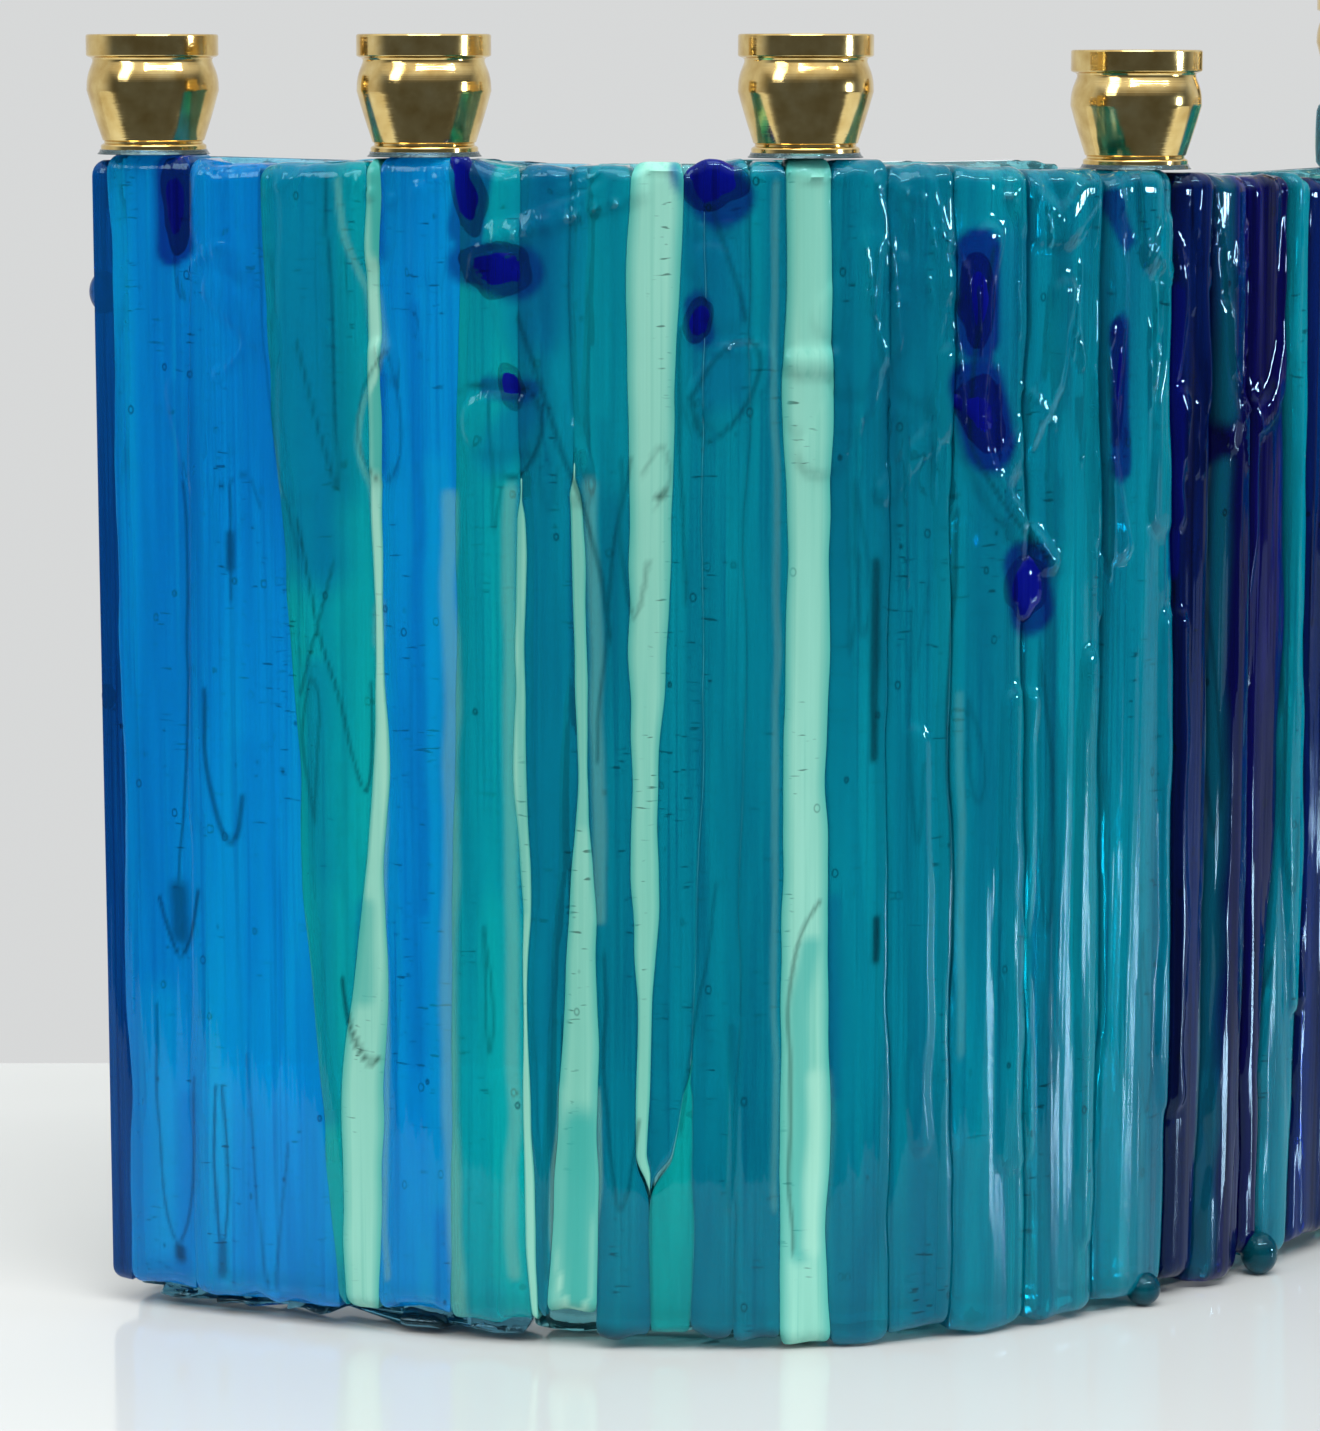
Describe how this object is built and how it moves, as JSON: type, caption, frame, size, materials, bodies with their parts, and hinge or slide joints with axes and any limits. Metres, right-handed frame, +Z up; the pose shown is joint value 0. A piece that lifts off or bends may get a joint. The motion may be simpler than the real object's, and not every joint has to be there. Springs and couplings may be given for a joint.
{
  "type": "menorah",
  "caption": "Wave-shaped standing wall of fused coloured glass strips with polished brass candle cups along its top edge and a raised middle cup.",
  "frame": {"origin": "on the table, under the middle of the wave, where the shamash cup stands", "axes": "+X along the wall from the end with the azure strips and forward bulge to the other end, -Y to the front, +Z up"},
  "size_m": [0.3792, 0.1076, 0.184],
  "materials": {
    "azure_glass": "fused, glossy, streaky",
    "sea_green_glass": "fused, glossy, streaky",
    "teal_glass": "fused, glossy, streaky",
    "turquoise_glass": "fused, glossy, streaky",
    "mint_glass": "fused opal, glossy",
    "navy_glass": "fused, glossy",
    "indigo_glass": "fused, glossy",
    "cobalt_glass": "fused, glossy",
    "back_glass": "fused, glossy, streaky",
    "bead_glass": "clear, glossy",
    "riser_glass": "clear, glossy",
    "clear_glue": "clear cured adhesive",
    "brass": "turned and polished"
  },
  "bodies": {
    "root": {"azure_strip_1": "azure_glass", "azure_strip_2": "azure_glass", "azure_strip_3": "azure_glass", "azure_strip_4": "azure_glass", "azure_strip_5": "azure_glass", "back_strip_1": "back_glass", "back_strip_2": "back_glass", "back_strip_3": "back_glass", "back_strip_4": "back_glass", "back_strip_5": "back_glass", "back_strip_6": "back_glass", "candle_cup_1": "brass", "candle_cup_2": "brass", "candle_cup_3": "brass", "candle_cup_4": "brass", "candle_cup_5": "brass", "candle_cup_6": "brass", "candle_cup_7": "brass", "candle_cup_8": "brass", "cobalt_chips": "cobalt_glass", "cobalt_strip_1": "cobalt_glass", "cup_glue": "clear_glue", "end_strip_left": "navy_glass", "end_strip_right": "navy_glass", "glass_beads": "bead_glass", "indigo_strip_1": "indigo_glass", "indigo_strip_2": "indigo_glass", "indigo_strip_3": "indigo_glass", "mint_strip_1": "mint_glass", "mint_strip_2": "mint_glass", "mint_strip_3": "mint_glass", "mint_strip_4": "mint_glass", "mint_strip_5": "mint_glass", "mint_strip_6": "mint_glass", "mint_strip_7": "mint_glass", "navy_strip_1": "navy_glass", "navy_strip_2": "navy_glass", "sea_green_strip_1": "sea_green_glass", "sea_green_strip_2": "sea_green_glass", "sea_green_strip_3": "sea_green_glass", "sea_green_strip_4": "sea_green_glass", "shamash_cup": "brass", "shamash_riser": "riser_glass", "teal_strip_1": "teal_glass", "teal_strip_10": "teal_glass", "teal_strip_11": "teal_glass", "teal_strip_12": "teal_glass", "teal_strip_13": "teal_glass", "teal_strip_14": "teal_glass", "teal_strip_2": "teal_glass", "teal_strip_3": "teal_glass", "teal_strip_4": "teal_glass", "teal_strip_5": "teal_glass", "teal_strip_6": "teal_glass", "teal_strip_7": "teal_glass", "teal_strip_8": "teal_glass", "teal_strip_9": "teal_glass", "turquoise_strip_1": "turquoise_glass", "turquoise_strip_2": "turquoise_glass", "turquoise_strip_3": "turquoise_glass"}
  },
  "joints": []
}
